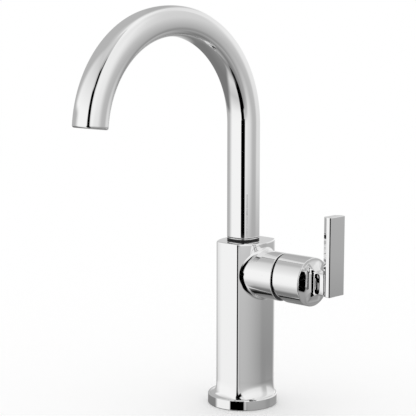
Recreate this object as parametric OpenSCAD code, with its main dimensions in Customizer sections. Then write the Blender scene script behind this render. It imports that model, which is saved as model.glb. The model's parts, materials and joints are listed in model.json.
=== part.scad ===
// Single-lever gooseneck bar faucet, above-deck part. Millimetres.
// Origin: centre of the base on the deck. +Z is up, the spout reaches toward -Y,
// and the lever is on the +X side.

/* [Base and body] */
// Radius of the round base
base_r = 30; // [29:0.5:32]
// Height of the upright band round the base
base_band_h = 8.1; // [7:0.1:9]
// Height of the concave flare between the band and the column
flare_h = 10.5; // [8:0.5:12]
// Height of the column's flat top above the deck
body_top_z = 142.3; // [141:0.1:144]
// Half width of the column from its front face to its back face
body_half_y = 23.6; // [23.2:0.1:24]
// Half width of the column across its bulged sides
body_half_x = 21.55; // [21.2:0.05:22]
// Radius of the bulged sides
body_side_r = 35; // [34:0.5:38]
// Radius of the column's four upright edges
body_edge_r = 2.7; // [2:0.1:3]
// Distance that the column stands nearer to the lever than the base does
body_shift = 2.8; // [2.4:0.1:3]

/* [Spout] */
// Half width across the flats of the spout tube
tube_half = 12.1; // [12:0.1:12.6]
// Radius of the spout tube's soft edges
tube_edge_r = 7; // [6:0.5:8]
// Wall thickness of the spout tube
tube_wall = 1.4; // [1.2:0.1:1.5]
// Radius of the arch, to the middle of the tube
arch_r = 85.4; // [80:0.2:95]
// Height of the arch's centre above the deck
arch_z = 240.3; // [225:0.1:260]
// Turn of the arch, from the riser to the outlet ring
arch_turn = 173.4; // [168:0.2:178]
// Length of the outlet ring below the arch
outlet_h = 4; // [3.5:0.5:6]
// Width of the chamfer round the outlet
outlet_chamfer = 1.8; // [1:0.1:2]

/* [Valve and handle] */
// Height of the valve's axis above the deck
valve_z = 115.8; // [115:0.1:116.5]
// Radius of the barrel and of the handle hub
barrel_r = 20.2; // [20:0.1:20.4]
// Distance from the riser's axis to the barrel's end
barrel_end_x = 48.3; // [48:0.1:48.6]
// Gap between the barrel and the hub
hub_gap = 2; // [1.9:0.1:2.4]
// Distance from the riser's axis to the hub's outer face
hub_end_x = 77.2; // [76.5:0.1:78]
// Tilt of the lever from shut to full flow
tilt_max = 18; // [15:1:18]
// Distance from the riser's axis to the tilt axis inside the cartridge
pivot_x = 38; // [37.8:0.1:38.2]
// Height of the lever blade's top above the deck
blade_top_z = 172; // [160:1:185]
// Height of the lever blade's bottom above the deck
blade_low_z = 107.3; // [106:0.1:108]
// Half width of the lever blade
blade_half_y = 8; // [7.5:0.1:9]

/* [Hidden] */
$fn = 64;
eps = 0.01;

// column outline and flare
rim_land = 0.9;
rim_r = base_r - 1.4;
rim_z = base_band_h + rim_land;
side_cx = body_half_x - body_side_r;
edge_turn = asin((body_half_y - body_edge_r) / (body_side_r - body_edge_r));
edge_cx = side_cx + (body_side_r - body_edge_r) * cos(edge_turn);
edge_cy = body_half_y - body_edge_r;
top_bevel = 0.4;

// inside of the base
shaft_r = 15.5;
recess_r = 25;
recess_h = 6;
gasket_in_r = 17.5;
insert_z = 1.5;
insert_top_z = 16;
pad_r = 17.3;
stud_r = 4;
hose_port_r = 4.6;
hose_port_top_z = 12;
screw_circle_r = 21;
screw_r = 2;
screw_head_r = 3.4;
screw_head_h = 2;
screw_thread_h = 2;

// inside of the column
inlet_tube_r = 4;
inlet_top_z = valve_z - 7;
port_y = 10;
port_r = 3;
seal_h = 1.6;
seal_w = 1.6;
disc_port_r = 2.2;
disc_port_y = 7.5;
disc_port_z = 4;
barrel_wall = 2.6;
socket_r = barrel_r - barrel_wall;
socket_x = -10;

// spout joint
ring_gap = 0.3;
low_ring_h = 1.1;
mid_ring_h = 0.9;
top_ring_h = 0.6;
low_ring_z = body_top_z + ring_gap;
mid_ring_z = low_ring_z + low_ring_h;
top_ring_z = mid_ring_z + mid_ring_h;
tube_z = top_ring_z + top_ring_h;
post_r = 8;
post_bore_r = 5;
post_low_z = valve_z + disc_port_z + port_r + 1.2;
post_step_z = valve_z + socket_r + 0.3;
running_gap = 0.05;
seat_h = 40;
seat_top_z = tube_z + seat_h;
seal_groove_r = 6.3;
seal_ring_h = 1.8;
seal_ring_z = [tube_z + 9, tube_z + seat_h - 10];
clip_z = seat_top_z + 0.4;
clip_h = 1.2;
clip_slot = 6;
post_top_z = clip_z + clip_h + 3.3;
clip_in_r = 7;

// outlet
outlet_plug_r = 10;
aerator_r = 9.4;
aerator_h = 13;
aerator_z0 = outlet_h - aerator_h - 0.4;
aerator_z1 = outlet_h - 0.9;
washer_h = 1.5;
core_r = aerator_r - 1.45;
jet_pitch = 2.1;
jet_r = 0.6;
screen_h = 0.8;
screen_z = aerator_z1 - screen_h - 0.5;
screen_pitch = 2.2;
screen_bar = 0.5;

// valve stack, as distances along X
stack_x = 13;
seat_disc_x = 18;
turn_disc_x = 22;
holder_x = 26;
yoke_x = 33;
shell_x = 42;
shell_end_x = 46;
nut_end_x = 48.5;
nut_flange_h = 1;
cartridge_r = socket_r - 0.3;
shell_wall = 2.8;
shell_bore_r = cartridge_r - shell_wall;
nut_r = shell_bore_r - 0.1;
turn_disc_r = shell_bore_r - 3.5;
nut_wall = 1.9;
nut_bore_r = nut_r - nut_wall;
mouth_r = 9.4;
spanner_slot = 4;
cap_x = shell_x + nut_flange_h;
cap_r = socket_r - 0.1;
cap_wall = 1.3;
cap_rise = 2;
dome_r = cap_r + cap_rise;
cap_mouth_r = 11;
pocket_r = 6;
pocket_h = 1.5;
pin_r = 1.5;
pin_half = shell_bore_r - 2.5;
ball_arm = 8;
ball_r = 2.5;
ball_neck_r = 1.6;
stem_r = 4.2;
stem_heel = 3.5;
stem_end_x = 68;
stem_flat = 3.6;
yoke_slot_half = 4.7;
yoke_slot_z = 9;

// handle
hub_x = barrel_end_x + hub_gap;
hub_low_x = hub_x - hub_gap - 3;
seam_r = 80;
root_fillet = 3;
rim_bevel = 0.6;
hub_wall = 2.6;
hub_cavity_end_x = 70;
boss_r = 9;
boss_x = pivot_x + dome_r + 0.5;
grub_x = 63.5;
tilt_gap = 0.3;
grub_r = 2.5;
grub_h = 7;
blade_x = 92.8;
blade_edge_x = 101.9;
blade_bow = 1;
blade_bevel_x = 96.7;
blade_in_half_y = 6.4;
blade_edge_r = 1.8;
neck_root = 1;
waist_x = 82.6;
waist_half_y = 4.4;
neck_half_y = 9.8;
neck_flare_half_y = 7.2;
neck_top_z = 9.2;
neck_top_rise = 9.8;
neck_top_run = 11.5;
neck_low_z = 9.4;
neck_low_drop = 4.8;
neck_low_run = 6;
lever_screw_x = 73;

// ---------- helpers ----------

// points of an arc about c, from angle a to angle b, in n steps
function arc(c, r, a, b, n) = [for (i = [0:n]) c + r * [cos(a + (b - a) * i / n), sin(a + (b - a) * i / n)]];

// a half outline with its mirror image across X
function both_sides(half) = concat(half, [for (i = [len(half) - 1:-1:0]) [half[i][0], -half[i][1]]]);

// the column's outline in plan, anticlockwise from the right side's lower end
right_side = arc([side_cx, 0], body_side_r, -edge_turn, edge_turn, 16);
back_right = arc([edge_cx, edge_cy], body_edge_r, edge_turn, 90, 5);
upper_half = concat(
    [for (i = [9:16]) right_side[i]],
    [for (i = [1:5]) back_right[i]],
    [for (k = [1:3]) [edge_cx * (1 - k / 2), body_half_y]],
    [for (i = [1:5]) [-back_right[5 - i][0], back_right[5 - i][1]]],
    [for (i = [1:8]) [-right_side[16 - i][0], right_side[16 - i][1]]]
);
outline = concat(upper_half, [for (p = upper_half) -p]);

// one ring of the column's skin: the outline drawn toward the rim's circle by the share s
function skin_ring(z, s, inset) = [
    for (p = outline)
        let (q = [p[0] + body_shift, p[1]],
             w = [q[0] * (1 - inset / norm(q)), q[1] * (1 - inset / norm(q))],
             c = rim_r * q / norm(q),
             m = w + (c - w) * s)
        [m[0], m[1], z]
];
// share of the way out to the rim at the height t of the flare, a quarter circle
function flare_share(t) = 1 - sqrt(1 - (1 - t) * (1 - t));
flare_steps = [0, 0.05, 0.14, 0.28, 0.45, 0.7, 1];

module skin(rings) {
    n = len(rings[0]);
    m = len(rings);
    points = [for (ring = rings) for (p = ring) p];
    sides = [
        for (j = [0:m - 2]) for (i = [0:n - 1])
            let (a = j * n + i, b = j * n + (i + 1) % n)
            each [[a, a + n, b], [b, a + n, b + n]]
    ];
    low = [for (i = [0:n - 1]) i];
    high = [for (i = [n - 1:-1:0]) (m - 1) * n + i];
    polyhedron(points = points, faces = concat([low], sides, [high]));
}

// a square with soft edges, about the origin
module soft_square(half, r) {
    square([2 * half, 2 * (half - r)], center = true);
    square([2 * (half - r), 2 * half], center = true);
    for (x = [-1, 1]) for (y = [-1, 1])
        translate([x * (half - r), y * (half - r)]) circle(r = r);
}

// turns local Z onto the valve's axis, starting at x
module along_valve(x) {
    translate([x, 0, valve_z]) rotate([0, 90, 0]) children();
}

// a cylinder on the valve's axis from x0 to x1
module rod(x0, x1, r) {
    along_valve(x0) cylinder(h = x1 - x0, r = r);
}

// a ring on the valve's axis from x0 to x1
module sleeve(x0, x1, r_out, r_in) {
    difference() {
        rod(x0, x1, r_out);
        rod(x0 - 1, x1 + 1, r_in);
    }
}

// a ring on the riser's axis
module collar(z0, h, r_out, r_in) {
    translate([0, 0, z0]) difference() {
        cylinder(h = h, r = r_out);
        translate([0, 0, -1]) cylinder(h = h + 2, r = r_in);
    }
}

// the arch's plane: local X is out from the arch's centre, local Y is along the arch
module in_arch() {
    translate([0, -arch_r, arch_z]) rotate([90, 0, 90]) children();
}

// local Z runs down the tube at the end of the arch
module at_outlet() {
    in_arch() rotate([0, 0, arch_turn]) translate([arch_r, 0, 0]) rotate([-90, 0, 0]) children();
}

// ---------- body and what it holds ----------

module base_ring() {
    color("silver") difference() {
        union() {
            cylinder(h = base_band_h, r = base_r);
            translate([0, 0, base_band_h])
                cylinder(h = rim_z - base_band_h, r1 = base_r, r2 = base_r - rim_land);
        }
        translate([0, 0, -1]) cylinder(h = recess_h + 1, r = recess_r);
        translate([0, 0, -1]) cylinder(h = rim_z + 2, r = shaft_r);
        insert_holes(screw_r, recess_h - 1, screw_thread_h + 1);
    }
}

module body() {
    color("silver") difference() {
        union() {
            skin(concat(
                [for (t = flare_steps) skin_ring(rim_z + flare_h * t, flare_share(t), 0)],
                [skin_ring(body_top_z - top_bevel, 0, 0), skin_ring(body_top_z, 0, top_bevel)]
            ));
            skin(concat(
                [root_ring(barrel_r + root_fillet, -3 * root_fillet)],
                [for (a = [0:18:90])
                    root_ring(barrel_r + root_fillet * (1 - sin(a)), root_fillet * (1 - cos(a)))]
            ));
            intersection() {
                rod(stack_x, barrel_end_x, barrel_r);
                seam_cylinder(seam_r);
            }
        }
        translate([0, 0, rim_z - 1]) cylinder(h = valve_z - rim_z, r = shaft_r);
        rod(socket_x, barrel_end_x + 1, socket_r);
        translate([0, 0, valve_z]) cylinder(h = body_top_z, r = post_r + 1);
    }
}

// one ring of the fillet at the barrel's root, at the distance out from the column's side
function root_ring(r, out) = [
    for (a = [0:6:354])
        let (y = r * cos(a), on_side = sqrt(body_side_r * body_side_r - y * y))
        [body_shift + side_cx + on_side + out, y, valve_z + r * sin(a)]
];

// the seam between barrel and hub lies on a cylinder about a line along Y
module seam_cylinder(r) {
    translate([barrel_end_x - seam_r, 0, valve_z]) rotate([90, 0, 0])
        cylinder(h = 3 * barrel_r, r = r, center = true);
}

module insert_holes(r, z, h) {
    for (a = [60, 180, 300])
        rotate([0, 0, a]) translate([screw_circle_r, 0, z]) cylinder(h = h, r = r);
}

module base_insert() {
    color("goldenrod") difference() {
        union() {
            translate([0, 0, insert_z]) cylinder(h = recess_h - insert_z, r = recess_r - 0.3);
            cylinder(h = insert_z + 1, r = pad_r);
            translate([0, 0, insert_z]) cylinder(h = insert_top_z - insert_z, r = shaft_r - 0.2);
        }
        for (s = [-1, 1]) translate([0, s * port_y, -1]) {
            cylinder(h = hose_port_top_z + 1, r = hose_port_r);
            cylinder(h = insert_top_z + 2, r = inlet_tube_r);
        }
        translate([0, 0, -1]) cylinder(h = insert_top_z + 2, r = stud_r);
        insert_holes(screw_r + 0.2, -1, recess_h + 2);
        insert_holes(screw_head_r + 0.2, -1, insert_z + screw_head_h + 1);
    }
}

module insert_screws() {
    color("dimgray") {
        insert_holes(screw_head_r, insert_z, screw_head_h);
        insert_holes(screw_r - 0.05, insert_z + screw_head_h,
            recess_h - insert_z - screw_head_h + screw_thread_h);
    }
}

module base_gasket() {
    color("dimgray") collar(0, insert_z, recess_r - 0.3, gasket_in_r);
}

module valve_block() {
    color("goldenrod") difference() {
        rod(socket_x, stack_x, socket_r - 0.2);
        // outlet, up to the post
        translate([0, 0, post_low_z]) cylinder(h = barrel_r, r = post_r - 0.5);
        translate([0, 0, valve_z]) cylinder(h = 10, r = post_bore_r);
        // two inlets, from the tubes below
        for (s = [-1, 1]) translate([0, s * port_y, 0]) {
            cylinder(h = inlet_top_z, r = inlet_tube_r);
            cylinder(h = valve_z + disc_port_z + 2, r = port_r);
        }
        cartridge_ports(disc_port_r, 0, stack_x + 1);
    }
}

module inlet_tubes() {
    color("peru") for (s = [-1, 1]) translate([0, s * port_y, hose_port_top_z]) difference() {
        cylinder(h = inlet_top_z - hose_port_top_z, r = inlet_tube_r - 0.05);
        translate([0, 0, -1]) cylinder(h = valve_z, r = port_r);
    }
}

module spout_post() {
    color("goldenrod") difference() {
        union() {
            translate([0, 0, post_low_z]) cylinder(h = post_step_z - post_low_z + eps, r = post_r - 0.55);
            translate([0, 0, post_step_z]) cylinder(h = post_top_z - post_step_z, r = post_r);
        }
        translate([0, 0, post_low_z - 1]) cylinder(h = post_top_z, r = post_bore_r);
        for (z = seal_ring_z) collar(z, seal_ring_h, post_r + 1, seal_groove_r);
        collar(clip_z, clip_h, post_r + 1, clip_in_r);
    }
}

module post_seals() {
    color("dimgray") for (z = seal_ring_z) collar(z, seal_ring_h, post_r, seal_groove_r);
}

module post_clip() {
    color("lightsteelblue") difference() {
        collar(clip_z, clip_h, post_r + 1.4, clip_in_r);
        translate([0, 0, clip_z - 1]) rotate([0, 0, 45]) translate([0, -clip_slot / 2, 0])
            cube([2 * post_r, clip_slot, clip_h + 2]);
    }
}

// ---------- spout ----------

module tube_section() {
    difference() {
        soft_square(tube_half, tube_edge_r);
        soft_square(tube_half - tube_wall, tube_edge_r - tube_wall);
    }
}

module spout_tube() {
    color("silver") {
        translate([0, 0, tube_z]) linear_extrude(height = arch_z - tube_z) tube_section();
        in_arch() rotate_extrude(angle = arch_turn) translate([arch_r, 0]) tube_section();
    }
}

module spout_seat() {
    color("goldenrod") translate([0, 0, tube_z]) linear_extrude(height = seat_h) difference() {
        soft_square(tube_half - tube_wall, tube_edge_r - tube_wall);
        circle(r = post_r + running_gap);
    }
}

module low_ring() {
    color("dimgray") swivel_ring(low_ring_z, low_ring_h, 0.5);
}

module mid_ring() {
    color("silver") swivel_ring(mid_ring_z, mid_ring_h, 0.2);
}

module top_ring() {
    color("dimgray") swivel_ring(top_ring_z, top_ring_h, 0.7);
}

module swivel_ring(z, h, inset) {
    translate([0, 0, z]) difference() {
        linear_extrude(height = h) soft_square(tube_half - inset, tube_edge_r - inset);
        translate([0, 0, -1]) cylinder(h = h + 2, r = post_r + 0.4);
    }
}

module outlet_ring() {
    color("silver") at_outlet() difference() {
        union() {
            linear_extrude(height = outlet_h - outlet_chamfer) soft_square(tube_half, tube_edge_r);
            translate([0, 0, outlet_h - outlet_chamfer]) hull() {
                linear_extrude(height = eps) soft_square(tube_half, tube_edge_r, $fn = 32);
                translate([0, 0, outlet_chamfer - eps]) linear_extrude(height = eps)
                    soft_square(tube_half - outlet_chamfer, tube_edge_r - outlet_chamfer, $fn = 32);
            }
            translate([0, 0, aerator_z0 - 0.8]) cylinder(h = 0.8 - aerator_z0 + eps, r = outlet_plug_r);
        }
        translate([0, 0, aerator_z0]) cylinder(h = aerator_h + 2, r = aerator_r);
        translate([0, 0, aerator_z0 - 2]) cylinder(h = 20, r = aerator_r - 2);
    }
}

module aerator_washer() {
    color("dimgray") at_outlet() collar(aerator_z0, washer_h, aerator_r - 0.05, aerator_r - 2);
}

module aerator_shell() {
    color("silver") at_outlet() difference() {
        translate([0, 0, aerator_z0 + washer_h])
            cylinder(h = aerator_z1 - aerator_z0 - washer_h, r = aerator_r - 0.05);
        translate([0, 0, aerator_z0]) cylinder(h = aerator_h + 2, r = aerator_r - 1.4);
    }
}

module aerator_core() {
    color("whitesmoke") at_outlet() difference() {
        translate([0, 0, aerator_z0 + washer_h]) cylinder(h = screen_z - aerator_z0 - washer_h, r = core_r);
        for (n = [1:3]) for (k = [0:6 * n - 1])
            rotate([0, 0, 60 * k / n]) translate([jet_pitch * n, 0, aerator_z0])
                cylinder(h = aerator_h, r = jet_r, $fn = 16);
        translate([0, 0, aerator_z0]) cylinder(h = aerator_h, r = jet_r, $fn = 16);
    }
}

module aerator_screen() {
    color("gray") at_outlet() translate([0, 0, screen_z]) intersection() {
        cylinder(h = screen_h, r = core_r);
        union() {
            difference() {
                cylinder(h = screen_h, r = core_r);
                translate([0, 0, -1]) cylinder(h = screen_h + 2, r = core_r - screen_h);
            }
            for (k = [-3:3]) {
                translate([k * screen_pitch - screen_bar / 2, -aerator_r, 0])
                    cube([screen_bar, 2 * aerator_r, screen_h]);
                translate([-aerator_r, k * screen_pitch - screen_bar / 2, 0])
                    cube([2 * aerator_r, screen_bar, screen_h]);
            }
        }
    }
}

// ---------- cartridge ----------

module cartridge_ports(r, x0, x1) {
    rod(x0, x1, r);
    for (s = [-1, 1])
        translate([x0, s * disc_port_y, valve_z + disc_port_z])
            rotate([0, 90, 0]) cylinder(h = x1 - x0, r = r);
}

module cartridge_base() {
    color("whitesmoke") difference() {
        rod(stack_x, seat_disc_x, cartridge_r);
        cartridge_ports(disc_port_r, stack_x - 1, seat_disc_x + 1);
        cartridge_ports(disc_port_r + seal_w + 0.05, stack_x - 1, stack_x + seal_h);
    }
}

module cartridge_seals() {
    color("dimgray") difference() {
        cartridge_ports(disc_port_r + seal_w, stack_x, stack_x + seal_h);
        cartridge_ports(disc_port_r, stack_x - 1, stack_x + seal_h + 1);
    }
}

module seat_disc() {
    color("white") difference() {
        rod(seat_disc_x, turn_disc_x - 0.1, shell_bore_r - 0.1);
        cartridge_ports(disc_port_r, seat_disc_x - 1, turn_disc_x + 1);
    }
}

module cartridge_shell() {
    color("lightgray") difference() {
        union() {
            rod(seat_disc_x, shell_x, cartridge_r);
            rod(shell_x - 1, shell_end_x, nut_bore_r - 0.2);
        }
        rod(seat_disc_x - 1, shell_x - 0.2, shell_bore_r);
        rod(shell_x - 1, shell_end_x + 1, mouth_r);
    }
}

module bonnet_nut() {
    color("goldenrod") difference() {
        union() {
            rod(shell_x, cap_x, socket_r - 0.05);
            rod(shell_x, nut_end_x, nut_r);
        }
        rod(shell_x - 1, nut_end_x + 1, nut_bore_r);
        for (a = [0:60:300])
            translate([nut_end_x, 0, valve_z]) rotate([a, 0, 0])
                translate([-spanner_slot / 2, -spanner_slot / 2, nut_bore_r - 1]) cube(spanner_slot);
    }
}

// half of a ball's section about the pivot, no wider than r
module dome_section(ball, r) {
    intersection() {
        circle(r = ball);
        translate([0, cap_x - pivot_x]) square([r, ball]);
    }
}

// a cap whose dome is centred on the pivot, so that the hub tilts round it
module bonnet_cap() {
    color("silver") along_valve(pivot_x) rotate_extrude() difference() {
        dome_section(dome_r, cap_r);
        dome_section(dome_r - cap_wall, cap_r - cap_wall);
        square([cap_mouth_r, 2 * dome_r]);
    }
}

module turn_disc() {
    color("white") difference() {
        rod(turn_disc_x, holder_x, turn_disc_r);
        rod(turn_disc_x - 1, turn_disc_x + pocket_h, pocket_r);
    }
}

module disc_holder() {
    color("gray") difference() {
        rod(holder_x, yoke_x - 0.4, turn_disc_r - 0.5);
        rod(holder_x + 1, yoke_x + 1, ball_r + 0.1);
    }
}

module cartridge_yoke() {
    color("gray") difference() {
        rod(yoke_x, shell_x - 0.6, shell_bore_r - 0.3);
        translate([yoke_x - 1, -yoke_slot_half, valve_z - yoke_slot_z])
            cube([shell_x - yoke_x + 1, 2 * yoke_slot_half, 2 * yoke_slot_z]);
        pivot_pin(pin_r + 0.01, shell_bore_r);
    }
}

// a cylinder on the tilt axis
module pivot_pin(r, half) {
    translate([pivot_x, 0, valve_z]) rotate([90, 0, 0]) cylinder(h = 2 * half, r = r, center = true);
}

module yoke_pin() {
    color("lightsteelblue") pivot_pin(pin_r, pin_half);
}

module cartridge_stem() {
    color("lightsteelblue") difference() {
        union() {
            rod(pivot_x - stem_heel, stem_end_x, stem_r);
            rod(pivot_x - ball_arm, pivot_x, ball_neck_r);
            translate([pivot_x - ball_arm, 0, valve_z]) sphere(r = ball_r);
        }
        translate([grub_x - stem_r, -stem_r, valve_z - stem_flat - stem_r])
            cube([2 * stem_r, 2 * stem_r, stem_r]);
        pivot_pin(pin_r + running_gap, stem_r + 1);
    }
}

// ---------- handle ----------

// how much of a concave quarter round is left at the share t of its run
function sweep(t) = 1 - sqrt(max(0, 1 - t * t));

// the neck in plan, thinnest at the waist
neck_steps = [for (k = [0:10]) k / 10];
neck_plan = concat(
    [[hub_end_x - neck_root, neck_half_y]],
    [for (k = neck_steps)
        let (t = cos(90 * k))
        [waist_x - (waist_x - hub_end_x) * t, waist_half_y + (neck_half_y - waist_half_y) * sweep(t)]],
    [for (k = neck_steps) if (k > 0)
        [waist_x + (blade_x - waist_x) * k, waist_half_y + (neck_flare_half_y - waist_half_y) * sweep(k)]]
);

// the neck from the front, with a concave sweep up to the hub's rim and a smaller one below
neck_side = concat(
    [[blade_x, -neck_low_z], [blade_x, neck_top_z]],
    [for (k = neck_steps)
        let (t = 1 - cos(90 * k))
        [hub_end_x + neck_top_run * (1 - t), neck_top_z + neck_top_rise * sweep(t)]],
    [[hub_end_x - neck_root, neck_top_z + neck_top_rise],
        [hub_end_x - neck_root, -neck_low_z - neck_low_drop]],
    [for (k = neck_steps)
        let (t = cos(90 * k))
        [hub_end_x + neck_low_run * (1 - t), -neck_low_z - neck_low_drop * sweep(t)]]
);

module neck() {
    intersection() {
        rod(hub_end_x - 2 * neck_root, blade_x + 1, barrel_r - rim_bevel);
        translate([0, 0, valve_z - barrel_r]) linear_extrude(height = 2 * barrel_r)
            polygon(both_sides(neck_plan));
        translate([0, barrel_r, valve_z]) rotate([90, 0, 0]) linear_extrude(height = 2 * barrel_r)
            polygon(neck_side);
    }
}

module handle_hub() {
    color("silver") difference() {
        union() {
            along_valve(hub_low_x) rotate_extrude() polygon([
                [0, 0], [barrel_r, 0],
                [barrel_r, hub_end_x - hub_low_x - rim_bevel],
                [barrel_r - rim_bevel, hub_end_x - hub_low_x], [0, hub_end_x - hub_low_x]
            ]);
            neck();
        }
        sleeve(hub_low_x - 1, hub_cavity_end_x, barrel_r - hub_wall, boss_r);
        rod(hub_low_x - 1, boss_x, barrel_r - hub_wall);
        rod(boss_x - 1, stem_end_x, stem_r + running_gap);
        rod(stem_end_x - 1, lever_screw_x, screw_head_r + 0.2);
        rod(lever_screw_x - 1, blade_x + 1, screw_r + 0.1);
        translate([grub_x, 0, valve_z - barrel_r - 1]) cylinder(h = barrel_r, r = grub_r);
        seam_cylinder(seam_r + hub_gap);
        // relief below the axis, which meets the barrel's end at full tilt
        translate([pivot_x, 0, valve_z]) rotate([0, -tilt_max, 0])
            translate([-2 * barrel_r, -2 * barrel_r, -3 * barrel_r])
                cube([2 * barrel_r + barrel_end_x - pivot_x + tilt_gap, 4 * barrel_r, 3 * barrel_r]);
    }
}

module grub_screw() {
    color("dimgray") translate([grub_x, 0, valve_z - stem_flat - grub_h]) difference() {
        cylinder(h = grub_h, r = grub_r - 0.05);
        translate([0, 0, -1]) cylinder(h = 3.5, r = 1.25, $fn = 6);
    }
}

blade_mid_x = blade_edge_x + blade_bow;
blade_bow_r = (pow(blade_half_y - blade_edge_r, 2) + blade_bow * blade_bow) / (2 * blade_bow);
blade_bow_turn = asin((blade_half_y - blade_edge_r) / blade_bow_r);
blade_upper = concat(
    [[blade_x, blade_in_half_y], [blade_bevel_x, blade_half_y]],
    [for (a = [90:-15:15])
        [blade_edge_x - blade_edge_r * (1 - cos(a)), blade_half_y - blade_edge_r * (1 - sin(a))]],
    [for (k = [0:5])
        let (a = blade_bow_turn * (1 - k / 6))
        [blade_mid_x - blade_bow_r + blade_bow_r * cos(a), blade_bow_r * sin(a)]]
);

module lever_blade() {
    color("silver") difference() {
        translate([0, 0, blade_low_z]) linear_extrude(height = blade_top_z - blade_low_z)
            polygon(both_sides(blade_upper));
        rod(blade_x - 1, blade_x + 6.2, screw_r);
    }
}

module lever_screw() {
    color("lightsteelblue") difference() {
        union() {
            rod(lever_screw_x - 3, lever_screw_x, screw_head_r);
            rod(lever_screw_x - 1, blade_x + 6, screw_r - 0.05);
        }
        along_valve(lever_screw_x - 4) cylinder(h = 3, r = 1.5, $fn = 6);
    }
}

base_ring();
body();
base_insert();
base_gasket();
insert_screws();
valve_block();
inlet_tubes();
spout_post();
post_seals();
post_clip();
spout_tube();
spout_seat();
low_ring();
mid_ring();
top_ring();
outlet_ring();
aerator_shell();
aerator_core();
aerator_screen();
aerator_washer();
cartridge_base();
cartridge_seals();
cartridge_shell();
seat_disc();
bonnet_nut();
bonnet_cap();
cartridge_yoke();
yoke_pin();
turn_disc();
disc_holder();
cartridge_stem();
handle_hub();
grub_screw();
lever_blade();
lever_screw();
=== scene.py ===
"""Chrome gooseneck bar faucet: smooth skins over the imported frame, its materials and a plain studio."""

import json
import math

import bpy
import numpy as np
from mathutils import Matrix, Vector


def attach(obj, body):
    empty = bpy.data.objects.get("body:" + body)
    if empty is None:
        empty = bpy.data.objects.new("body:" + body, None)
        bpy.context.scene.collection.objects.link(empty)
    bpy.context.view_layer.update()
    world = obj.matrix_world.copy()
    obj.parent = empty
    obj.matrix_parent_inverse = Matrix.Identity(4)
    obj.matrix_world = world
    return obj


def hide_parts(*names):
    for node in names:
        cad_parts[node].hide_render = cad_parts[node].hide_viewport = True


MM = 0.001

# base and column, in mm
BASE_R = 30.0
BASE_BORE_R = 25.0
BASE_FOOT_CHAMFER = 0.4
BASE_SOFTNESS = (0.15, 0.15, 0.2, 0.25)
RIM_R = 28.6
RIM_Z = 9.0
RIM_CHAMFER = 0.9
FLARE_H = 13.5
TOP_Z = 142.3
TOP_BEVEL = 0.7
COLUMN_RINGS_Z = (25, 40, 70, 100, 130, 141)
SHAFT_R = 15.5
SHAFT_TOP_Z = 130.3
POST_HOLE_R = 9.0
POST_HOLE_Z = 134.3

# the column's plan: its half sizes, the radii of its bowed sides, of its front and back and of its corners,
# and how far its centre lies to the right of the base's
HALF_X = 21.55
HALF_Y = 24.5
SIDE_R = 33.9
FRONT_R = 111.0
EDGE_R = 2.7
SHIFT = 3.15

# spout
TUBE_HALF = 12.1
TUBE_SIDE_R = 34.4
TUBE_EDGE_R = 6.2
TUBE_WALL = 1.4
TUBE_Z = 145.2
TUBE_FOOT_SHARE = 0.985
TUBE_FOOT_H = 0.25
INNER_RING_Z = 190.2
ARCH_R = 85.4
ARCH_Z = 240.3
ARCH_TURN = math.radians(173.4)
OUTLET_H = 4.0
OUTLET_CHAMFER = 1.8
AERATOR_R = 9.4
AERATOR_DEPTH = 2.0
AERATOR_CHAMFER = 0.3
SWIVEL_RING_Z = (143.7, 144.6)
SWIVEL_RING_INSET = 0.2
SWIVEL_RING_EDGE = 0.15

# barrel and hub
VALVE_Z = 115.8
BARREL_R = 20.2
BARREL_END_X = 48.3
ROOT_FILLET = 2.8
ROOT_SUNK = 0.02
ROOT_DEPTH = 1.2
SOCKET_R = 17.6
SOCKET_FLOOR_X = 11.0
SEAM_R = 80.0
SEAM_BEVEL = 0.5
HUB_GAP = 2.0
HUB_END_X = 77.2
HUB_BEVEL = 0.75
HUB_WALL = 2.6
HUB_FLOOR_X = 70.0
HUB_FACE_R = 8.0
HUB_HOLE_R = 3.0
PIVOT_X = 38.0
TILT_MAX = math.radians(18)
TILT_GAP = 0.3

# the neck's half width, and its top and bottom from the valve's axis
NECK_AT_HUB = (12.0, 19.3, 17.4)
NECK_AT_WAIST = (4.4, 9.2, 9.4)
NECK_AT_BLADE = (6.4, 13.2, 8.2)
# how far its hub end and its blade end sweep, at its sides and at its top and bottom
NECK_HUB_RUN = (5.4, 9.5)
NECK_BLADE_RUN = (2.6, 6.0)
# how much its sides swell at the middle of their height, between the waist and the blade
NECK_SWELL = 0.8
NECK_SQUARENESS = 8.0
# how far it runs on into the hub and the blade, and how far into the blade its sweep would end
NECK_IN_HUB = 0.6
NECK_IN_BLADE = 0.3
NECK_SWEEP_END = 0.5
# how far inside the flat of the hub's end face it stays
NECK_TO_BEVEL = 0.1

# the blade's back, the end of its back's chamfers, and its front, and its half widths at the first two
BLADE_X = (92.8, 97.45, 101.4)
BLADE_HALF = (6.7, 9.5)
BLADE_CHAMFER = (0.8, 0.6)
BLADE_SOFTNESS = (0.3, 0.4, 0.12, 0.12)
BLADE_Z = (107.3, 172.0)
BLADE_BEVEL = 0.45

# how far from an edge the rings beside it lie, which keep the shading of a flat face flat
RIM_BESIDE = (0.6, 0.15)
FLARE_BESIDE = 0.7
TOP_BESIDE = (0.9, 1.3)
SEAM_BESIDE = 0.9
BARREL_BESIDE = (18, 12, 6, 2, 0.9)
HUB_BESIDE = (0.9, 2.5, 6)
HUB_END_BESIDE = (2, 1)
HUB_FACE_BESIDE = (1.0, 1.6)
TUBE_FOOT_BESIDE = 0.6
RISER_BESIDE = (3, 2)
BLADE_BESIDE = (0.7, 2)
BLADE_END_BESIDE = (0.8, 1.2)
OUTLET_BESIDE = (0.0, 0.4, 1.2, 1.9)
OUTLET_FACE_BESIDE = 0.25
# the same for the corners of a polyline, as a share of the corner's radius
CORNER_BESIDE = 0.25

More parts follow.
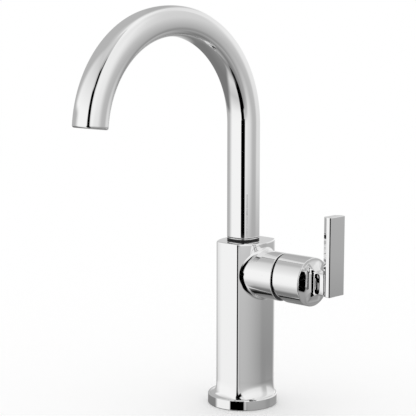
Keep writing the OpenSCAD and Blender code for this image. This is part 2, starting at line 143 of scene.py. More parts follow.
# the turns in degrees at which a rounded edge has its rings
BEVEL_TURNS = (0, 22.5, 45, 67.5, 90)
FINE_TURNS = (0, 15, 30, 45, 60, 75, 90)
TOP_TURNS = (0, 20, 45, 70, 90)
BLADE_TURNS = (0, 30, 60, 90)


# ---------- meshes ----------

def mesh_object(name, verts, faces, sharp):
    """A mesh object from points in mm, shaded smooth up to the sharp angle in degrees."""
    mesh = bpy.data.meshes.new(name)
    mesh.from_pydata([tuple(MM * c for c in v) for v in verts], [], faces)
    mesh.validate()
    mesh.shade_smooth()
    mesh.set_sharp_from_angle(angle=math.radians(sharp))
    obj = bpy.data.objects.new(name, mesh)
    bpy.context.scene.collection.objects.link(obj)
    return obj


def loft(name, rings, closed=False, sharp=40):
    """A skin over rings of equal length. closed joins the last to the first, else the ends are filled."""
    n = len(rings[0])
    verts = [tuple(p) for ring in rings for p in ring]
    faces = []
    for j in range(len(rings) if closed else len(rings) - 1):
        k = (j + 1) % len(rings)
        for i in range(n):
            m = (i + 1) % n
            faces.append((j * n + i, j * n + m, k * n + m, k * n + i))
    if not closed:
        faces.append(tuple(range(n - 1, -1, -1)))
        faces.append(tuple((len(rings) - 1) * n + i for i in range(n)))
    return mesh_object(name, verts, faces, sharp)


def arc(cx, cy, r, start, end, n):
    """n + 1 points on an arc, with angles in degrees."""
    turns = [math.radians(start + (end - start) * i / n) for i in range(n + 1)]
    return [(cx + r * math.cos(t), cy + r * math.sin(t)) for t in turns]


def rounded(points, radii, n=5):
    """An open polyline with its inner corners rounded, and a point beside each end of every arc."""
    out = [points[0]]
    for k, r in enumerate(radii):
        before, corner, after = (np.array(p, float) for p in points[k:k + 3])
        u = (before - corner) / np.linalg.norm(before - corner)
        w = (after - corner) / np.linalg.norm(after - corner)
        half = math.acos(max(-1, min(1, float(u @ w)))) / 2
        reach = r / math.tan(half)
        centre = corner + (u + w) / np.linalg.norm(u + w) * r / math.sin(half)
        p, q = corner + u * reach - centre, corner + w * reach - centre
        spread = math.pi - 2 * half
        out.append(tuple(centre + p + u * CORNER_BESIDE * r))
        for i in range(n + 1):
            t = i / n
            between = math.sin((1 - t) * spread) * p + math.sin(t * spread) * q
            out.append(tuple(centre + between / math.sin(spread)))
        out.append(tuple(centre + q + w * CORNER_BESIDE * r))
    out.append(points[-1])
    return out


def bevel_steps(size, turns=BEVEL_TURNS):
    """A rounded edge from a side to its face: how far in each step lies, and how far short of the face."""
    angles = [math.radians(turn) for turn in turns]
    return [(size * (1 - math.cos(t)), size * (1 - math.sin(t))) for t in angles]


def sweep(share):
    """A quarter circle's fall from 1 to 0 as the share of the run goes from 0 to 1."""
    left = 1 - min(1.0, max(0.0, share))
    return 1 - math.sqrt(1 - left ** 2)


def at_height(flat, z):
    """Flat points lifted to a height."""
    return [(x, y, z) for x, y in flat]


# ---------- the base and the column ----------

def make_base(n=256):
    """The base ring, turned about the riser's axis: a band with a chamfer at its foot and at its rim."""
    profile = [(BASE_BORE_R, 0), (BASE_R - BASE_FOOT_CHAMFER, 0), (BASE_R, BASE_FOOT_CHAMFER),
               (BASE_R, RIM_Z - RIM_CHAMFER), (BASE_R - RIM_CHAMFER, RIM_Z), (BASE_BORE_R, RIM_Z)]
    turns = [2 * math.pi * i / n for i in range(n)]
    rings = [at_height([(r * math.cos(t), r * math.sin(t)) for t in turns], z)
             for r, z in rounded(profile, BASE_SOFTNESS)]
    return loft("base_band", rings, closed=True)


def column_plan():
    """The column's plan, anticlockwise from its right side: four bowed faces and tight corners."""
    side_cx, front_cy = HALF_X - SIDE_R, HALF_Y - FRONT_R
    # a corner's centre is where circles about the two faces' own centres meet
    toward = np.array([-side_cx, front_cy])
    apart = np.linalg.norm(toward)
    along = ((SIDE_R - EDGE_R) ** 2 - (FRONT_R - EDGE_R) ** 2 + apart ** 2) / (2 * apart)
    off = math.sqrt((SIDE_R - EDGE_R) ** 2 - along ** 2)
    ux, uy = toward / apart
    ex = side_cx + along * ux - off * uy
    ey = along * uy + off * ux
    side_turn = math.degrees(math.atan2(ey, ex - side_cx))
    front_turn = math.degrees(math.atan2(ey - front_cy, ex))
    quarter = arc(side_cx, 0, SIDE_R, 0, side_turn, 44)[:-1]
    quarter += arc(ex, ey, EDGE_R, side_turn, front_turn, 14)[:-1]
    quarter += arc(0, front_cy, FRONT_R, front_turn, 90, 12)
    upper = quarter + [(-x, y) for x, y in reversed(quarter[:-1])]
    return np.array(upper[:-1] + [(-x, -y) for x, y in upper[:-1]]) + (SHIFT, 0)


PLAN = column_plan()
PLAN_REACH = np.linalg.norm(PLAN, axis=1, keepdims=True)


def column_ring(z, share=0.0, inset=0.0):
    """The plan at a height, drawn out toward the rim's circle by the share, and drawn in by the inset."""
    near = PLAN * (1 - inset / PLAN_REACH)
    far = PLAN / PLAN_REACH * RIM_R
    return at_height(near + (far - near) * share, z)


def inner_ring(r, z):
    """A circle about the riser's axis, with its points in the plan's directions."""
    return at_height(PLAN / PLAN_REACH * r, z)


def make_column():
    """The column, from the base's rim up through the flare to its top, with its shaft and the post's hole."""
    rings = [inner_ring(SHAFT_R, RIM_Z)]
    rings += [inner_ring(RIM_R - inward, RIM_Z) for inward in RIM_BESIDE]
    rises = [1 - math.cos(math.radians(a)) for a in np.linspace(3, 90, 30)]
    rings += [column_ring(RIM_Z + FLARE_H * t, sweep(t)) for t in rises]
    rings += [column_ring(z) for z in (RIM_Z + FLARE_H + FLARE_BESIDE, *COLUMN_RINGS_Z)]
    rings += [column_ring(TOP_Z - short, 0, inward) for inward, short in bevel_steps(TOP_BEVEL, TOP_TURNS)]
    rings += [column_ring(TOP_Z, 0, inward) for inward in TOP_BESIDE]
    rings += [inner_ring(POST_HOLE_R, TOP_Z), inner_ring(POST_HOLE_R, POST_HOLE_Z)]
    rings.append(inner_ring(SHAFT_R, SHAFT_TOP_Z))
    return loft("column_skin", rings, closed=True, sharp=35)


# ---------- the barrel and the hub ----------

def side_x(y):
    """Where the column's bowed side stands at y."""
    return SHIFT + HALF_X - SIDE_R + math.sqrt(SIDE_R ** 2 - y ** 2)


def seam_x(z, gap=0.0):
    """Where the seam's cylinder about Y stands at the height z above the valve's axis."""
    r = SEAM_R + gap
    return BARREL_END_X - SEAM_R + math.sqrt(r * r - z * z)


def hub_inner_x(z):
    """The hub's inner edge: the seam above the axis, and the tilt relief below it."""
    relief = PIVOT_X + (BARREL_END_X - PIVOT_X + TILT_GAP - z * math.sin(TILT_MAX)) / math.cos(TILT_MAX)
    return max(seam_x(z, HUB_GAP), relief)


def round_ring(r, x_at, n=192):
    """A ring about the valve's axis, whose x comes from a function of y and the height over the axis."""
    out = []
    for i in range(n):
        t = 2 * math.pi * i / n
        y, z = r * math.cos(t), r * math.sin(t)
        out.append((x_at(y, z), y, VALVE_Z + z))
    return out


def flat_ring(r, x):
    """A ring in a plane across the valve's axis."""
    return round_ring(r, lambda y, z: x)


def side_ring(r, out):
    """A ring that follows the column's bowed side and stands out from it."""
    return round_ring(r, lambda y, z: side_x(y) + out)


def seam_ring(r, short=0.0):
    """A ring that follows the barrel's edge at the seam, or stops short of it."""
    return round_ring(r, lambda y, z: seam_x(z) - short)


def hub_ring(r, out=0.0):
    """A ring that follows the hub's inner edge, or stands out from it."""
    return round_ring(r, lambda y, z: hub_inner_x(z) + out)


def make_barrel():
    """The barrel, from its fillet on the column's side to the seam, with the valve's socket."""
    foot_r = BARREL_R + ROOT_FILLET
    rings = [side_ring(foot_r, -ROOT_DEPTH)]
    for a in np.linspace(0, 90, 12):
        t = math.radians(a)
        lift = ROOT_FILLET * (1 - math.cos(t)) - ROOT_SUNK
        rings.append(side_ring(foot_r - ROOT_FILLET * math.sin(t), lift))
    rings += [seam_ring(BARREL_R, short) for short in BARREL_BESIDE]
    rings += [seam_ring(BARREL_R - inward, short) for inward, short in bevel_steps(SEAM_BEVEL)]
    rings += [seam_ring(BARREL_R - SEAM_BESIDE), seam_ring(SOCKET_R), flat_ring(SOCKET_R, SOCKET_FLOOR_X)]
    return loft("valve_barrel", rings, closed=True, sharp=35)


def make_hub():
    """The hub, from its seam with the barrel to its flat end face."""
    inner_r = BARREL_R - HUB_WALL
    rings = [flat_ring(inner_r, HUB_FLOOR_X), hub_ring(inner_r), hub_ring(BARREL_R - SEAM_BESIDE)]
    rings += [hub_ring(BARREL_R - inward, short) for inward, short in reversed(bevel_steps(SEAM_BEVEL))]
    rings += [hub_ring(BARREL_R, out) for out in HUB_BESIDE]
    rings += [flat_ring(BARREL_R, HUB_END_X - short) for short in HUB_END_BESIDE]
    for inward, short in bevel_steps(HUB_BEVEL, FINE_TURNS):
        rings.append(flat_ring(BARREL_R - inward, HUB_END_X - short))
    rings += [flat_ring(BARREL_R - inward, HUB_END_X) for inward in HUB_FACE_BESIDE]
    rings += [flat_ring(r, HUB_END_X) for r in (HUB_FACE_R, HUB_HOLE_R)]
    rings.append(flat_ring(HUB_HOLE_R, HUB_FLOOR_X))
    return loft("hub_shell", rings, closed=True)


# ---------- the lever's neck and blade ----------

def neck_terms(size, t):
    """The side's and the top's or bottom's terms of a rounded box in polar form, at the angle t."""
    half, top, bottom = size
    tall = top if math.sin(t) > 0 else bottom
    return abs(math.cos(t) / half) ** NECK_SQUARENESS, abs(math.sin(t) / tall) ** NECK_SQUARENESS


def neck_reach(size, t):
    """How far from the axis the rounded box stands at the angle t, inside the hub's rim."""
    return min(sum(neck_terms(size, t)) ** (-1 / NECK_SQUARENESS), BARREL_R - HUB_BEVEL - NECK_TO_BEVEL)


def neck_ring(x, n=256):
    """The neck's section at x: a thin waist that flares into the hub's end face and the blade's back."""
    ring = []
    waist_x = HUB_END_X + NECK_HUB_RUN[0]
    swell = math.sin(math.pi * min(1.0, max(0.0, (x - waist_x) / (BLADE_X[0] - waist_x))))
    for i in range(n):
        t = 2 * math.pi * (i + 0.5) / n
        side, end = neck_terms(NECK_AT_WAIST, t)
        hub_run = (side * NECK_HUB_RUN[0] + end * NECK_HUB_RUN[1]) / (side + end)
        blade_run = (side * NECK_BLADE_RUN[0] + end * NECK_BLADE_RUN[1]) / (side + end)
        waist = neck_reach(NECK_AT_WAIST, t)
        to_hub = neck_reach(NECK_AT_HUB, t) - waist
        to_blade = neck_reach(NECK_AT_BLADE, t) - waist
        reach = waist + to_hub * sweep((x - HUB_END_X) / hub_run)
        reach += to_blade * sweep((BLADE_X[0] + NECK_SWEEP_END - x) / blade_run)
        y, z = reach * math.cos(t), reach * math.sin(t)
        belly = side / (side + end) * max(0.0, 1 - (z / NECK_AT_WAIST[1]) ** 2)
        y += math.copysign(NECK_SWELL * swell * belly, y)
        ring.append((x, y, VALVE_Z + z))
    return ring


def make_neck():
    """The neck, from inside the hub's end face to inside the blade's back."""
    length = BLADE_X[0] + NECK_IN_BLADE - HUB_END_X
    rings = [[(x - NECK_IN_HUB, y, z) for x, y, z in neck_ring(HUB_END_X)]]
    rings += [neck_ring(HUB_END_X + length * t ** 2) for t in np.linspace(0, 1, 72)]
    return loft("lever_neck", rings, sharp=50)


def blade_plan():
    """The blade's plan: a chamfered back, flat sides, small front chamfers and a flat front."""
    back, side, front = BLADE_X
    narrow, wide = BLADE_HALF
    half = [(back, 0.0), (back, narrow), (side, wide), (front - BLADE_CHAMFER[0], wide),
            (front, wide - BLADE_CHAMFER[1]), (front, 0.0)]
    plan = rounded(half, BLADE_SOFTNESS, n=3)
    return plan + [(x, -y) for x, y in reversed(plan[1:-1])]


def make_blade():
    """The lever's upright blade, with rounded ends."""
    middle = np.array([(BLADE_X[0] + BLADE_X[2]) / 2, 0.0])
    from_middle = np.array(blade_plan()) - middle
    reach = np.linalg.norm(from_middle, axis=1, keepdims=True)
    low, high = BLADE_Z

    def ring(z, inset=0.0):
        return at_height(middle + from_middle * (1 - inset / reach), z)

    steps = bevel_steps(BLADE_BEVEL, BLADE_TURNS)
    rings = [ring(low, inset) for inset in reversed(BLADE_END_BESIDE)]
    rings += [ring(low + short, inset) for inset, short in reversed(steps)]
    rings += [ring(low + up) for up in BLADE_BESIDE]
    rings.append(ring((low + high) / 2))
    rings += [ring(high - down) for down in reversed(BLADE_BESIDE)]
    rings += [ring(high - short, inset) for inset, short in steps]
    rings += [ring(high, inset) for inset in BLADE_END_BESIDE]
    return loft("lever_skin", rings, sharp=25)


# ---------- the spout ----------

def tube_section(inset=0.0, n=12):
    """The tube's section, a square with crowned sides and round corners, drawn in all round by the inset."""
    side_c, reach = TUBE_HALF - TUBE_SIDE_R, TUBE_SIDE_R - TUBE_EDGE_R
    corner_c = (side_c + math.sqrt(2 * reach ** 2 - side_c ** 2)) / 2
    joint = math.degrees(math.atan2(corner_c, corner_c - side_c))
    corner = arc(corner_c, corner_c, TUBE_EDGE_R - inset, joint, 90 - joint, n)
    side = arc(0, side_c, TUBE_SIDE_R - inset, 90 - joint, 90 + joint, n)[1:-1]
    pts = []
    for c, s in ((1, 0), (0, 1), (-1, 0), (0, -1)):
        pts += [(c * x - s * y, s * x + c * y) for x, y in corner + side]
    return np.array(pts)


def arch_frame(t):
    """A place on the arch: its centre line point and the outward direction, in the plane x = 0."""
    y = -ARCH_R + ARCH_R * math.cos(t)
    z = ARCH_Z + ARCH_R * math.sin(t)
    return (y, z), (math.cos(t), math.sin(t))


def arch_ring(section, t):
    """A section set across the arch at the turn t."""
    (cy, cz), (oy, oz) = arch_frame(t)
    return [(-v, cy + u * oy, cz + u * oz) for u, v in section]


def riser_ring(section, z):
    """A section set across the riser at a height."""
    return [(-v, u, z) for u, v in section]


def make_tube():
    """The riser and the arch, open at both ends, with a small step in at the riser's foot."""
    outer = tube_section()
    inner = tube_section(TUBE_WALL)
    turns = np.linspace(0, ARCH_TURN, 150)
    riser_low, riser_high = TUBE_Z + RISER_BESIDE[0], ARCH_Z - RISER_BESIDE[1]
    rings = [riser_ring(outer * TUBE_FOOT_SHARE, TUBE_Z)]
    rings += [riser_ring(outer, TUBE_Z + up) for up in (TUBE_FOOT_H, TUBE_FOOT_BESIDE)]
    rings += [riser_ring(outer, z) for z in np.linspace(riser_low, riser_high, 24)]
    rings += [arch_ring(outer, t) for t in turns]
    rings += [arch_ring(inner, t) for t in turns[::-6]]
    rings += [riser_ring(inner, z) for z in (riser_high, INNER_RING_Z, TUBE_Z)]
    return loft("spout_skin", rings, closed=True, sharp=50)


def make_outlet():
    """The outlet ring, from the arch's end down to its chamfered rim."""
    outer = tube_section()
    (cy, cz), (oy, oz) = arch_frame(ARCH_TURN)
    down = (-oz, oy)

    def at(section, depth):
        return [(-v, cy + u * oy + depth * down[0], cz + u * oz + depth * down[1]) for u, v in section]

    def circle(r):
        turn = np.arctan2(outer[:, 1], outer[:, 0])
        return np.stack([r * np.cos(turn), r * np.sin(turn)], axis=1)

    rings = [at(circle(AERATOR_R), -AERATOR_DEPTH)]
    rings += [at(outer, depth) for depth in OUTLET_BESIDE]
    for inward, short in bevel_steps(OUTLET_CHAMFER, FINE_TURNS)[1:]:
        rings.append(at(tube_section(inward), OUTLET_H - short))
    rings.append(at(tube_section(OUTLET_CHAMFER + OUTLET_FACE_BESIDE), OUTLET_H))
    rings.append(at(circle(AERATOR_R + AERATOR_CHAMFER), OUTLET_H))
    rings.append(at(circle(AERATOR_R), OUTLET_H - AERATOR_CHAMFER))
    return loft("outlet_rim", rings, closed=True)


def make_swivel_ring():
    """The bright ring in the swivel joint, between its two dark ones."""
    section = tube_section(SWIVEL_RING_INSET)
    low, high = SWIVEL_RING_Z
    profile = [(0.75, low), (0.97, low), (0.99, low + SWIVEL_RING_EDGE), (1, (low + high) / 2),
               (0.99, high - SWIVEL_RING_EDGE), (0.97, high), (0.75, high)]
    rings = [riser_ring(section * share, z) for share, z in profile]
    return loft("swivel_band", rings, closed=True, sharp=60)


# ---------- materials ----------

# the sockets of a mix node that mixes colours
MIX_SHARE = 0
MIX_COLORS = (6, 7)
MIX_RESULT = 2

CHROME_COLOR = (0.9, 0.9, 0.9, 1)
CHROME_ROUGHNESS = 0.02
CHROME_GRAIN_SCALE = 55
CHROME_GRAIN_DETAIL = 3
GRAIN_DETAIL = 4
GRAIN_BUMP = 0.02
GRAIN_DEPTH = 0.0002
# each finish has its colour, metallic, roughness, and its grain's scale and strength
FINISHES = {
    # the seam's entry is painted shade: a dark dull metal that darkens the groove between barrel and hub
    "seam_painted_shade": ((0.13, 0.13, 0.135), 1.0, 0.4, 260, 0.12),
    "brass": ((0.78, 0.58, 0.26), 1.0, 0.28, 180, 0.06),
    "copper": ((0.80, 0.42, 0.28), 1.0, 0.26, 160, 0.08),
    "steel": ((0.62, 0.63, 0.65), 1.0, 0.25, 220, 0.05),
    "black_plastic": ((0.012, 0.012, 0.013), 0.0, 0.45, 300, 0.15),
    "white_plastic": ((0.80, 0.81, 0.81), 0.0, 0.35, 250, 0.02),
    "ceramic": ((0.90, 0.90, 0.87), 0.0, 0.18, 120, 0.02),
    "rubber": ((0.03, 0.03, 0.03), 0.0, 0.6, 350, 0.2),
}


def new_material(name):
    """A new material with its node tree and its shader."""
    mat = bpy.data.materials.new(name)
    mat.use_nodes = True
    return mat, mat.node_tree, mat.node_tree.nodes["Principled BSDF"]


def grain_noise(tree, scale, detail):
    """Noise that stays with the object, for the unevenness of a finish."""
    coords = tree.nodes.new("ShaderNodeTexCoord")
    noise = tree.nodes.new("ShaderNodeTexNoise")
    noise.inputs["Scale"].default_value = scale
    noise.inputs["Detail"].default_value = detail
    tree.links.new(coords.outputs["Object"], noise.inputs["Vector"])
    return noise.outputs["Fac"]


def uneven_gloss(tree, shader, noise, low, high):
    """Let the roughness go from low to high with the noise."""
    spread = tree.nodes.new("ShaderNodeMapRange")
    spread.inputs["To Min"].default_value = low
    spread.inputs["To Max"].default_value = high
    tree.links.new(noise, spread.inputs["Value"])
    tree.links.new(spread.outputs["Result"], shader.inputs["Roughness"])


def mixed(tree, share, *colors):
    """A mix of two colours by a socket's share. Each colour is a socket or a tuple."""
    mix = tree.nodes.new("ShaderNodeMix")
    mix.data_type = "RGBA"
    tree.links.new(share, mix.inputs[MIX_SHARE])
    for place, color in zip(MIX_COLORS, colors):
        if isinstance(color, tuple):
            mix.inputs[place].default_value = color
        else:
            tree.links.new(color, mix.inputs[place])
    return mix.outputs[MIX_RESULT]


def chrome(name):
    """Polished chrome plate: nearly clean, with a faint unevenness in its gloss."""
    mat, tree, shader = new_material(name)
    shader.inputs["Base Color"].default_value = CHROME_COLOR
    shader.inputs["Metallic"].default_value = 1.0
    noise = grain_noise(tree, CHROME_GRAIN_SCALE, CHROME_GRAIN_DETAIL)
    uneven_gloss(tree, shader, noise, CHROME_ROUGHNESS * 0.8, CHROME_ROUGHNESS * 1.25)
    return mat


def plain(name, color, metallic, roughness, grain_scale, grain):
    """A solid material with a slight grain in colour, gloss and surface."""
    mat, tree, shader = new_material(name)
    shader.inputs["Metallic"].default_value = metallic
    noise = grain_noise(tree, grain_scale, GRAIN_DETAIL)
    darker = (*[c * (1 - grain) for c in color], 1)
    lighter = (*[min(1, c * (1 + grain)) for c in color], 1)
    tree.links.new(mixed(tree, noise, darker, lighter), shader.inputs["Base Color"])
    uneven_gloss(tree, shader, noise, roughness * 0.85, roughness * 1.15)
    relief = tree.nodes.new("ShaderNodeBump")
    relief.inputs["Strength"].default_value = GRAIN_BUMP
    relief.inputs["Distance"].default_value = GRAIN_DEPTH
    tree.links.new(noise, relief.inputs["Height"])
    tree.links.new(relief.outputs["Normal"], shader.inputs["Normal"])
    return mat


def paint_seam_shade(obj):
    """Give the walls inside the seam a dark, dull finish: painted shade that darkens the groove between
    barrel and hub.
    """
    obj.data.materials.append(MATERIALS["seam_painted_shade"])
    for face in obj.data.polygons:
        x, y, z = face.center / MM
        if x < HUB_FLOOR_X and math.hypot(y, z - VALVE_Z) < BARREL_R - SEAM_BEVEL:
            face.material_index = 1


# ---------- camera and studio ----------

CAMERA_AT = (0.7405, -0.8194, 0.3247)
CAMERA_TURN = math.radians(43.66)
CAMERA_PITCH = math.radians(9.4)
FOCAL_PX = 1314.4
FRAME_PX = 416
CENTRE_UP_PX = 31.8
SENSOR_MM = 36

FLOOR_HALF = 3.0
FLOOR_DROP = 0.0003

# Studio walls seen in the chrome. Angles are in degrees round from the camera, positive to its right. The
# back wall goes all the way round behind the others. Each of those has its edges and their softness and its
# greys by height, and the upper left one has its lower and upper edges too.
STUDIO_R = 40.0
STUDIO_STRENGTH = 1.12
BACK_WALL = [(-75, 0.55), (-45, 0.46), (-17, 0.46), (-12, 0.69), (50, 0.70), (75, 0.90)]
WALLS = {
    "left": (
        (-99, 8, -42, 4),
        [(-75, 0.51), (-48, 0.84), (-32, 0.76), (-17, 0.93), (-6, 0.95), (14, 0.95), (38, 0.85), (50, 0.78),
         (75, 0.80)]),
    "left top": (
        (-112, 8, -42, 4),
        [(7, 0.95), (14, 0.95), (38, 0.85), (50, 0.78), (75, 0.80)],
        (11, 3, 70, 8)),
    "front": (
        (-42, 4, 12, 4),
        [(-75, 0.55), (-50, 0.55), (-15, 0.78), (16, 0.91), (50, 0.69), (75, 0.78)]),
    "right": (
        (12, 4, 152, 8),
        [(-75, 0.66), (-50, 0.47), (-20, 0.60), (-16.6, 0.60), (-15.9, 0.71), (-12, 0.73), (-10, 0.76),
         (-6, 0.90), (2, 0.94), (50, 0.92), (75, 0.94)]),
    "far right": (
        (60, 45, 152, 8),
        [(-75, 0.62), (-50, 0.48), (-20, 0.69), (-14.5, 0.55), (-12, 0.59), (-10, 0.655), (-6, 0.84),
         (2, 0.89), (10, 0.91), (50, 0.87), (75, 0.94)]),
    "dim": (
        (82, 8, 102, 4),
        [(-75, 0.66), (-45, 0.45), (-20, 0.61), (-14.5, 0.55), (-12, 0.59), (-10, 0.655), (-5, 0.70),
         (8, 0.81), (50, 0.84), (75, 0.94)]),
    "strip": (
        (152, 8, 173, 3),
        [(-75, 0.53), (-30, 0.58), (-17, 0.80), (-10, 0.80), (-4, 0.93), (6, 0.99), (20, 0.99), (30, 0.78),
         (50, 0.73), (75, 0.92)]),
    "behind": (
        (173, 3, 188, 3),
        [(-75, 0.54), (-32, 0.47), (-17, 0.67), (-8, 0.78), (-3, 0.90), (11, 0.78), (17, 0.66), (50, 0.69),
         (75, 0.93)]),
}
# black flags: edges and softness round, edges and softness up, and the grey
FLAGS = {
    "flag": ((-49, 2, 11.5, 2), (-9.3, 0.4, -2, 1.5), 0.0),
    "flag foot": ((-43, 1.5, 3.2, 2.5), (-19, 1.5, -9, 0.4), 0.0),
    "flag low": ((-46, 2, 15, 3), (-50, 5, -17.5, 1.5), 0.0),
    "flag tail": ((-22, 6, 20, 5), (-62, 4, -45, 3), 0.1),
    "flag top": ((-34, 2, 1.5, 2), (-3.5, 1.5, 33, 3), 0.0),
    "flag tip": ((-24, 4, 5, 2), (30, 3, 48, 3), 0.0),
    "flag point": ((-6, 6, 7, 3), (44, 3, 53, 3), 0.2),
}
# where the angle round starts again, inside the back wall
DOME_SEAM = -145


def add_camera():
    """A camera with a long lens, looking a little down, with its frame shifted up."""
    data = bpy.data.cameras.new("camera")
    data.sensor_fit = "HORIZONTAL"
    data.sensor_width = SENSOR_MM
    data.lens = FOCAL_PX / FRAME_PX * SENSOR_MM
    data.shift_y = CENTRE_UP_PX / FRAME_PX
    data.clip_start = 0.05
    data.clip_end = 100
    obj = bpy.data.objects.new("camera", data)
    obj.location = CAMERA_AT
    look = Vector((-math.sin(CAMERA_TURN) * math.cos(CAMERA_PITCH),
                   math.cos(CAMERA_TURN) * math.cos(CAMERA_PITCH), -math.sin(CAMERA_PITCH)))
    obj.rotation_euler = look.to_track_quat("-Z", "Y").to_euler()
    bpy.context.scene.collection.objects.link(obj)
    bpy.context.scene.camera = obj


def grey(tone):
    """The colour of light that a screen shows as this grey, from 0 to 1."""
    light = tone / 12.92 if tone <= 0.04045 else ((tone + 0.055) / 1.055) ** 2.4
    return (light, light, light, 1)


class Studio:
    """The node graph that paints the dome round the scene by direction alone."""

    def __init__(self, tree):
        self.tree = tree
        coords = self.node("ShaderNodeTexCoord")
        unit = self.node("ShaderNodeVectorMath")
        unit.operation = "NORMALIZE"
        self.link(coords.outputs["Object"], unit.inputs[0])
        # turned so that the seam lies at half a turn
        spin = self.node("ShaderNodeVectorRotate")
        spin.rotation_type = "Z_AXIS"
        spin.inputs["Angle"].default_value = math.pi / 2 - CAMERA_TURN - math.radians(DOME_SEAM + 180)
        self.link(unit.outputs["Vector"], spin.inputs["Vector"])
        split = self.node("ShaderNodeSeparateXYZ")
        self.link(spin.outputs["Vector"], split.inputs["Vector"])
        turn = self.math("ARCTAN2", split.outputs["Y"], split.outputs["X"])
        self.round = self.math("ADD", self.math("MULTIPLY", turn, 180 / math.pi), DOME_SEAM + 180)
        self.up = self.math("MULTIPLY", self.math("ARCSINE", split.outputs["Z"]), 180 / math.pi)

    def node(self, kind):
        return self.tree.nodes.new(kind)

    def link(self, a, b):
        self.tree.links.new(a, b)

    def math(self, operation, *values):
        node = self.node("ShaderNodeMath")
        node.operation = operation
        for socket, value in zip(node.inputs, values):
            if isinstance(value, (int, float)):
                socket.default_value = value
            else:
                self.link(value, socket)
        return node.outputs[0]

    def edge(self, angle, at, soft):
        """0 below an edge and 1 above it, with a smooth step between."""
        node = self.node("ShaderNodeMapRange")
        node.interpolation_type = "SMOOTHSTEP"
        node.inputs["From Min"].default_value = at - soft
        node.inputs["From Max"].default_value = at + soft
        self.link(angle, node.inputs["Value"])
        return node.outputs["Result"]

    def band(self, angle, low, low_soft, high, high_soft):
        """1 between two edges and 0 outside them."""
        inside = self.math("SUBTRACT", 1.0, self.edge(angle, high, high_soft))
        return self.math("MULTIPLY", self.edge(angle, low, low_soft), inside)

    def gradient(self, stops):
        """A wall's grey by height over the horizon."""
        ramp = self.node("ShaderNodeValToRGB")
        self.link(self.math("MULTIPLY_ADD", self.up, 1 / 180, 0.5), ramp.inputs["Fac"])
        points = ramp.color_ramp.elements
        points[0].position, points[1].position = [(stops[i][0] + 90) / 180 for i in (0, -1)]
        for height, _ in stops[1:-1]:
            points.new((height + 90) / 180)
        for point, (_, tone) in zip(points, stops):
            point.color = grey(tone)
        return ramp.outputs["Color"]

    def paint(self):
        """The dome's light: the walls from back to front, and the flags over them."""
        light = self.gradient(BACK_WALL)
        for edges, stops, *heights in WALLS.values():
            mask = self.band(self.round, *edges)
            for limits in heights:
                mask = self.math("MULTIPLY", mask, self.band(self.up, *limits))
            light = mixed(self.tree, mask, light, self.gradient(stops))
        for across, tall, tone in FLAGS.values():
            mask = self.math("MULTIPLY", self.band(self.round, *across), self.band(self.up, *tall))
            light = mixed(self.tree, mask, light, grey(tone))
        return light


def add_studio():
    """A wide dome of soft grey walls and black flags, seen only in reflections."""
    steps, turns = 24, 48
    r = STUDIO_R / MM
    rings = []
    for j in range(1, steps):
        t = math.pi * j / steps
        spokes = [2 * math.pi * i / turns for i in range(turns)]
        flat = [(r * math.sin(t) * math.cos(a), r * math.sin(t) * math.sin(a)) for a in spokes]
        rings.append(at_height(flat, -r * math.cos(t)))
    dome = loft("studio_dome", rings)
    mat = bpy.data.materials.new("studio_dome")
    mat.use_nodes = True
    tree = mat.node_tree
    tree.nodes.clear()
    out = tree.nodes.new("ShaderNodeOutputMaterial")
    light = tree.nodes.new("ShaderNodeEmission")
    light.inputs["Strength"].default_value = STUDIO_STRENGTH
    tree.links.new(Studio(tree).paint(), light.inputs["Color"])
    tree.links.new(light.outputs["Emission"], out.inputs["Surface"])
    dome.data.materials.append(mat)
    dome.visible_camera = False
    dome.visible_diffuse = False
    dome.visible_shadow = False


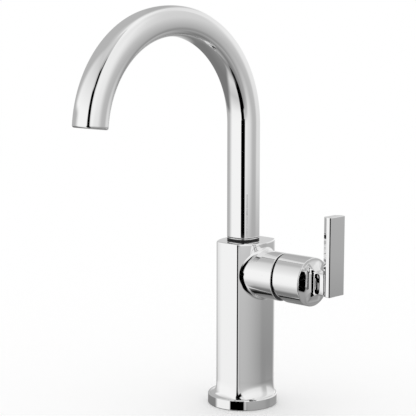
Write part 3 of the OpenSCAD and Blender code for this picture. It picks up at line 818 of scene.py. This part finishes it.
def add_floor():
    """A plain white floor, just under the base and left out of reflections."""
    corners = [(-FLOOR_HALF, -FLOOR_HALF), (FLOOR_HALF, -FLOOR_HALF), (FLOOR_HALF, FLOOR_HALF),
               (-FLOOR_HALF, FLOOR_HALF)]
    mesh = bpy.data.meshes.new("floor")
    mesh.from_pydata(at_height(corners, 0), [], [(0, 1, 2, 3)])
    floor = bpy.data.objects.new("floor", mesh)
    bpy.context.scene.collection.objects.link(floor)
    floor.location.z = -FLOOR_DROP
    mat, _, shader = new_material("floor")
    shader.inputs["Base Color"].default_value = (1, 1, 1, 1)
    shader.inputs["Roughness"].default_value = 0.9
    shader.inputs["Specular IOR Level"].default_value = 0.0
    floor.data.materials.append(mat)
    floor.visible_glossy = False


def add_world():
    """Even white light from all round."""
    world = bpy.data.worlds.new("studio")
    bpy.context.scene.world = world
    world.use_nodes = True
    background = world.node_tree.nodes["Background"]
    background.inputs["Color"].default_value = (1, 1, 1, 1)
    background.inputs["Strength"].default_value = 1.0


# ---------- the scene ----------

def dress(obj, body, *nodes, slot="chrome_brass"):
    """Let a skin ride on its body in place of the nodes, in the slot's material."""
    obj.data.materials.append(MATERIALS[slot])
    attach(obj, body)
    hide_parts(*nodes)
    return obj


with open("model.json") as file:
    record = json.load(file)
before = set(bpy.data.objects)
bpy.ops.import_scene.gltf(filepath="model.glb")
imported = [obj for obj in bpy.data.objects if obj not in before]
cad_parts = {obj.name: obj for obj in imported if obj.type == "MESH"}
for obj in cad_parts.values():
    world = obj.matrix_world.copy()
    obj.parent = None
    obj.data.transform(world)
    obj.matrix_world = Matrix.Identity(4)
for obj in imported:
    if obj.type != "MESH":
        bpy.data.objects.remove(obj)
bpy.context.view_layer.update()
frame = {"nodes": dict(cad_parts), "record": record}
bpy.context.scene.view_settings.view_transform = "Standard"
add_camera()
add_world()
add_studio()
add_floor()

plate = chrome("chrome")
MATERIALS = {"chrome_brass": plate, "chrome_zinc": plate}
for name, finish in FINISHES.items():
    MATERIALS[name] = plain(name, *finish)
for part in frame["record"]["subparts"]:
    slots = frame["nodes"][part["node"]].data.materials
    slots.clear()
    slots.append(MATERIALS[part["material_slot"]])

dress(make_base(), "column", "base_ring")
dress(make_column(), "column", "body")
# the barrel's walls inside the seam get painted shade
paint_seam_shade(dress(make_barrel(), "column", "body"))
dress(make_tube(), "spout", "spout_tube")
dress(make_outlet(), "spout", "outlet_ring")
dress(make_swivel_ring(), "spout", "mid_ring")
# the hub's walls inside the seam get painted shade too
paint_seam_shade(dress(make_hub(), "lever", "handle_hub", slot="chrome_zinc"))
dress(make_neck(), "lever", "handle_hub", slot="chrome_zinc")
dress(make_blade(), "lever", "lever_blade", slot="chrome_zinc")
